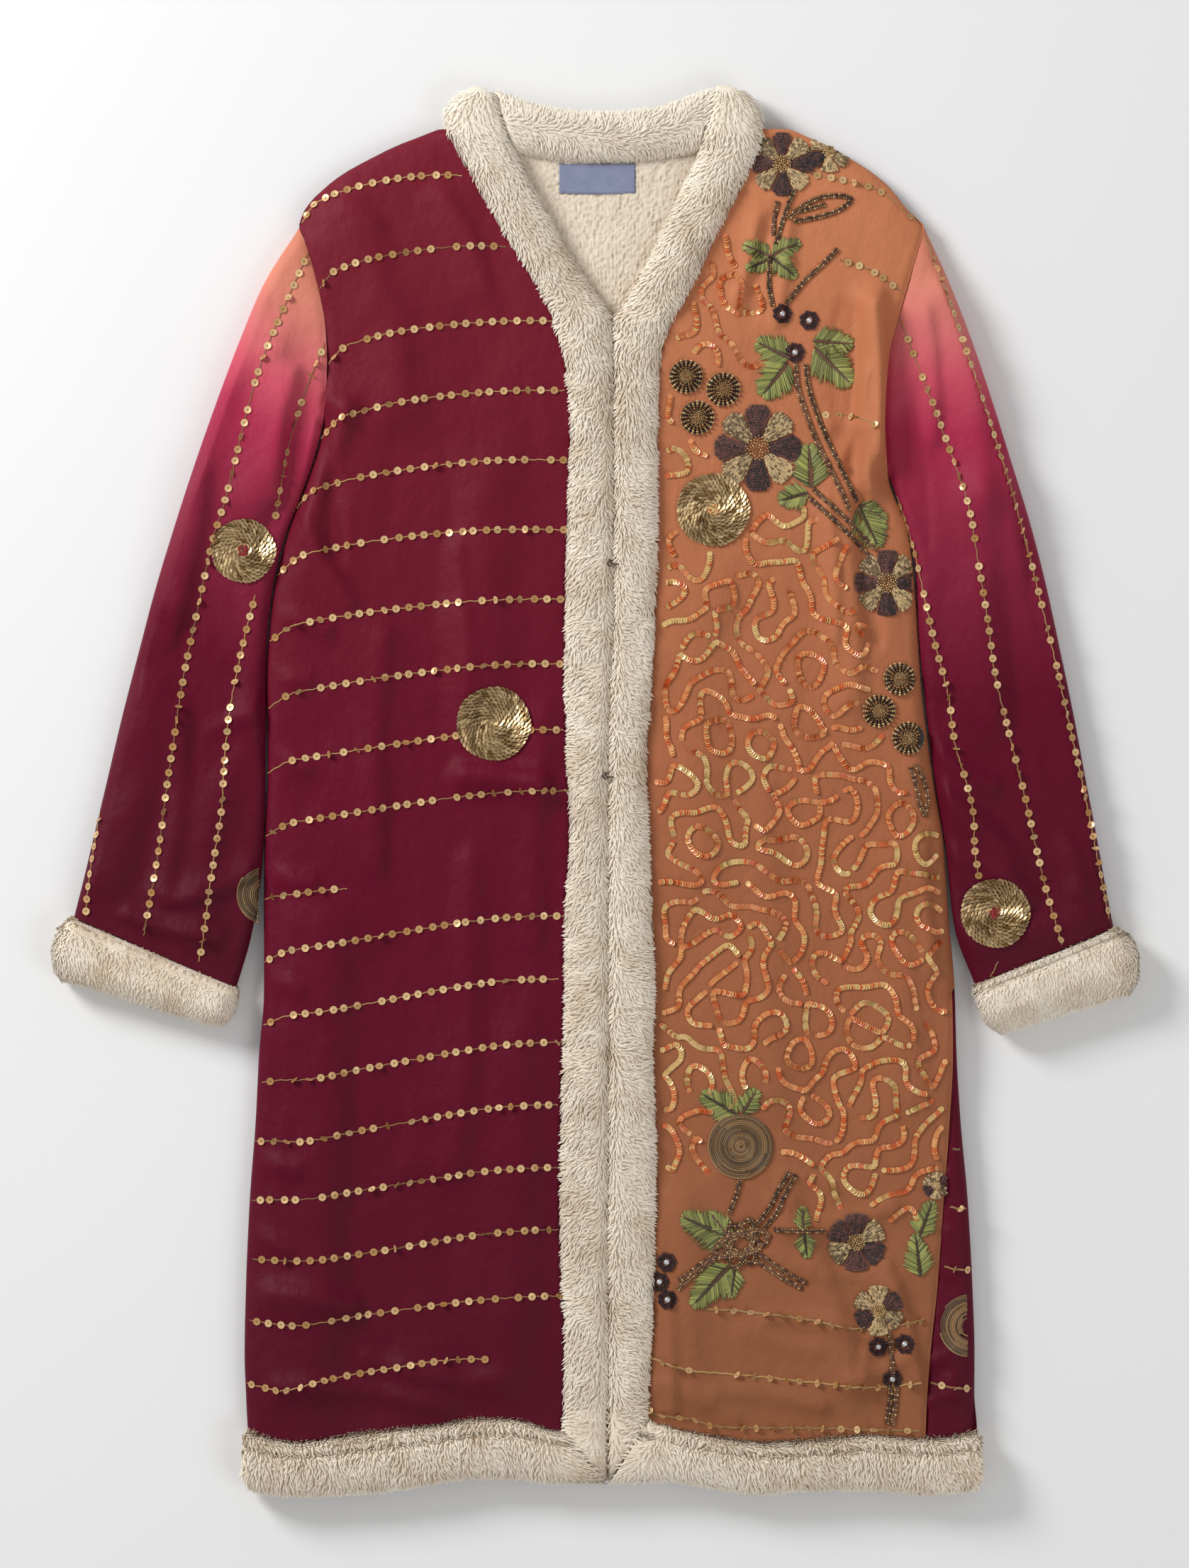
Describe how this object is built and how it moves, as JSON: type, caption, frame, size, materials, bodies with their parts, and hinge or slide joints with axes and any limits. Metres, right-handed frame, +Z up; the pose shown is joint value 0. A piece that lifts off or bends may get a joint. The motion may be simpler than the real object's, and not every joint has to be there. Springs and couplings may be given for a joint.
{
  "type": "fur-lined coat",
  "caption": "Long V-neck coat laid flat, one plain and one embroidered silk front, ombre sleeves, with cream fur down the front edges, round the hem and at the cuffs.",
  "frame": {"origin": "on the table under the middle of the coat's box as it lies flat", "axes": "+X across the coat towards the wearer's left, +Y up to the neck, +Z up from the table"},
  "size_m": [0.8635, 1.1213, 0.0375],
  "materials": {
    "maroon_silk": "matt slubbed silk in dark maroon with a soft sheen",
    "orange_silk": "copper orange silk under meandering ribbons of small sequins",
    "ombre_silk": "silk dyed from copper at the shoulder through pink to maroon at the cuff",
    "cream_fur": "cream pile fur, combed away from a parting",
    "pile_lining": "short curled pile lining in warm beige",
    "label_cloth": "plain woven blue-grey label, bare",
    "sequins": "gold and bronze sequins and beads sewn in rows",
    "hook_metal": "small bent wire fur hooks"
  },
  "bodies": {
    "root": {"back": "maroon_silk", "back_turned": "maroon_silk", "front_right": "maroon_silk", "front_left": "orange_silk", "sleeve_right": "ombre_silk", "sleeve_left": "ombre_silk", "cuff_right": "cream_fur", "cuff_left": "cream_fur", "band_right": "cream_fur", "band_left": "cream_fur", "hem_right": "cream_fur", "hem_left": "cream_fur", "hem_back": "cream_fur", "neck_band": "cream_fur", "lining": "pile_lining", "label": "label_cloth", "hook_upper": "hook_metal", "hook_lower": "hook_metal", "disc_front_right": "sequins", "disc_sleeve_right_upper": "sequins", "disc_sleeve_right_lower": "sequins", "disc_sleeve_left": "sequins", "disc_chest": "sequins", "disc_skirt": "sequins", "disc_back": "sequins", "flower_shoulder": "sequins", "flower_chest": "sequins", "flower_side": "sequins", "flower_skirt": "sequins", "flower_cluster": "sequins", "rosette_chest_a": "sequins", "rosette_chest_b": "sequins", "rosette_chest_c": "sequins", "rosette_side_a": "sequins", "rosette_side_b": "sequins", "rosette_side_c": "sequins"}
  },
  "joints": []
}
